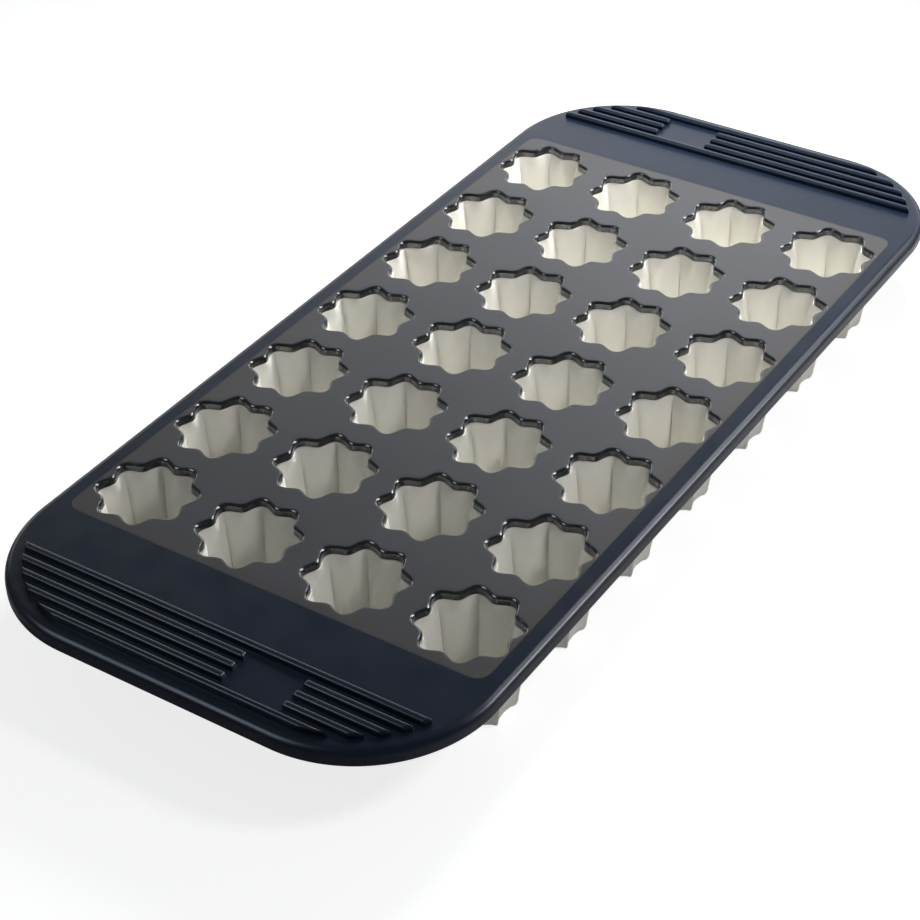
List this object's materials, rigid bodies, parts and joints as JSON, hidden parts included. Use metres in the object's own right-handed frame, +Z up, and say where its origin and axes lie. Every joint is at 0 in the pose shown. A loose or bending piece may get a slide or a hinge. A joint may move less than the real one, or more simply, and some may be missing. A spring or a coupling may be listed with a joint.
{
  "type": "silicone canele mould",
  "caption": "Silicone baking tray of deep fluted cups for small caneles, with a rounded rim and a ribbed grip at each end.",
  "frame": {"origin": "centre of the footprint, on the surface that the cups stand on", "axes": "+X across the tray, +Y along it towards the rear grip, +Z up out of the cup mouths"},
  "size_m": [0.176, 0.395, 0.0344],
  "materials": {
    "frame_silicone": "matt silicone, dark navy",
    "panel_silicone": "smooth satin silicone, smoky grey",
    "grip_silicone": "matt silicone, dark navy, ribbed",
    "cup_silicone": "smooth satin silicone, cream",
    "rim_steel": "drawn wire"
  },
  "bodies": {
    "root": {"frame": "frame_silicone", "panel": "panel_silicone", "front_grip": "grip_silicone", "rear_grip": "grip_silicone", "rim_wire": "rim_steel", "cup_r1_c1": "cup_silicone", "cup_r1_c2": "cup_silicone", "cup_r1_c3": "cup_silicone", "cup_r1_c4": "cup_silicone", "cup_r2_c1": "cup_silicone", "cup_r2_c2": "cup_silicone", "cup_r2_c3": "cup_silicone", "cup_r2_c4": "cup_silicone", "cup_r3_c1": "cup_silicone", "cup_r3_c2": "cup_silicone", "cup_r3_c3": "cup_silicone", "cup_r3_c4": "cup_silicone", "cup_r4_c1": "cup_silicone", "cup_r4_c2": "cup_silicone", "cup_r4_c3": "cup_silicone", "cup_r4_c4": "cup_silicone", "cup_r5_c1": "cup_silicone", "cup_r5_c2": "cup_silicone", "cup_r5_c3": "cup_silicone", "cup_r5_c4": "cup_silicone", "cup_r6_c1": "cup_silicone", "cup_r6_c2": "cup_silicone", "cup_r6_c3": "cup_silicone", "cup_r6_c4": "cup_silicone", "cup_r7_c1": "cup_silicone", "cup_r7_c2": "cup_silicone", "cup_r7_c3": "cup_silicone", "cup_r7_c4": "cup_silicone"}
  },
  "joints": []
}
